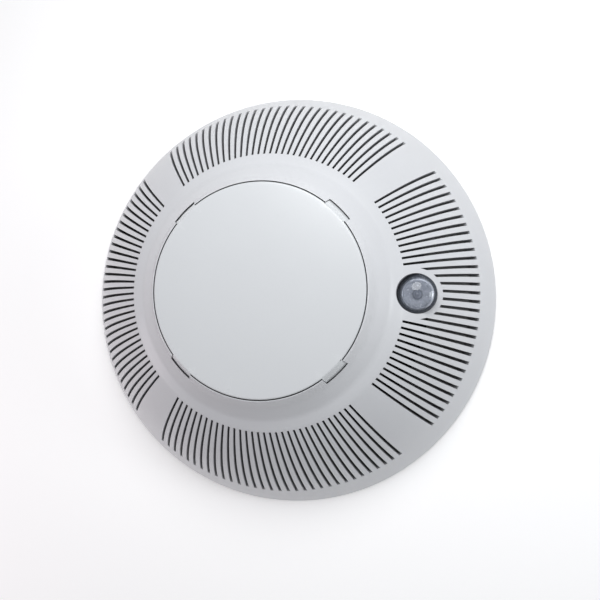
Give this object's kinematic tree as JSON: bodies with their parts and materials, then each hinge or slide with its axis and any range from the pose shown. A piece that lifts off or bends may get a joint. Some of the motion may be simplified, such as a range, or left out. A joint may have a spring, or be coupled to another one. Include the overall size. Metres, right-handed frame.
{
  "type": "heat detector",
  "caption": "Round domed ceiling heat detector with radial air slots, a press-to-test centre cap, a small clear lamp lens and a twist-off mounting plate.",
  "frame": {"origin": "centre of the mounting plate's ceiling face", "axes": "+Z away from the ceiling into the room, along the round body's axis; +X from the axis through the lamp lens"},
  "size_m": [0.15, 0.15, 0.0466],
  "materials": {
    "cover_white": "satin moulded",
    "cap_white": "smooth satin moulded",
    "base_white": "fine texture moulded",
    "plate_white": "fine texture moulded",
    "terminal_grey": "satin",
    "screw_steel": "zinc plated",
    "contact_bronze": "spring bronze",
    "wire_red": "pvc insulation",
    "wire_white": "pvc insulation",
    "screen_black": "fine gauze",
    "spring_steel": "drawn wire",
    "lens_clear": "clear polycarbonate",
    "reflector_chrome": "vacuum metallised",
    "led_yellow": "epoxy dome",
    "holder_grey": "satin",
    "board_green": "solder mask",
    "pin_tin": "tinned",
    "switch_black": "satin",
    "plunger_white": "satin",
    "sounder_black": "satin",
    "sounder_brass": "rolled",
    "sounder_ceramic": "silvered ceramic",
    "cell_sleeve": "shrink sleeve",
    "thermistor_bead": "glass-like epoxy",
    "relay_case": "moulded",
    "chip_black": "epoxy",
    "capacitor_sleeve": "shrink sleeve",
    "resistor_black": "chip",
    "diode_black": "moulded",
    "arrester_blue": "epoxy dipped",
    "ferrite_grey": "sintered",
    "coil_copper": "enamelled wire"
  },
  "bodies": {
    "mounting_plate": {"mounting_plate": "plate_white", "terminal_block": "terminal_grey", "terminal_screws": "screw_steel", "contact_leaves": "contact_bronze", "supply_links": "wire_red"},
    "head": {"base_shell": "base_white", "front_cover": "cover_white", "cover_screws": "screw_steel", "insect_screen": "screen_black", "cap_springs": "spring_steel", "lens": "lens_clear", "lamp_reflector": "reflector_chrome", "lamp_led": "led_yellow", "lamp_holder": "holder_grey", "lamp_wires": "wire_white", "circuit_board": "board_green", "board_screws": "screw_steel", "contact_pins": "pin_tin", "test_switch_body": "switch_black", "sounder_housing": "sounder_black", "sounder_disc": "sounder_brass", "sounder_ceramic": "sounder_ceramic", "sounder_leads": "wire_red", "backup_cell": "cell_sleeve", "cell_tags": "pin_tin", "thermistor_beads": "thermistor_bead", "thermistor_leads": "pin_tin", "relay": "relay_case", "microcontroller": "chip_black", "capacitors": "capacitor_sleeve", "resistors": "resistor_black", "diodes": "diode_black", "surge_arrester": "arrester_blue", "inductor_core": "ferrite_grey", "inductor_coil": "coil_copper"},
    "test_cap": {"centre_cap": "cap_white"},
    "switch_plunger": {"test_switch_plunger": "plunger_white"}
  },
  "joints": [
    {"name": "head_twist", "type": "hinge", "parent": "mounting_plate", "child": "head", "pos_m": [0, 0, 0], "axis": [0, 0, 1], "range_deg": [0, 15]},
    {"name": "cap_press", "type": "slide", "parent": "head", "child": "test_cap", "axis": [0, 0, -1], "range_m": [0, 0.0015], "stiffness_N_per_m": 1200, "springref_m": -0.0015, "deforming": ["cap_springs"]},
    {"name": "plunger_press", "type": "slide", "parent": "head", "child": "switch_plunger", "axis": [0, 0, -1], "range_m": [0, 0.0015]}
  ],
  "couplings": [
    {"joint": "plunger_press", "follows": "cap_press", "ratio": 1}
  ]
}
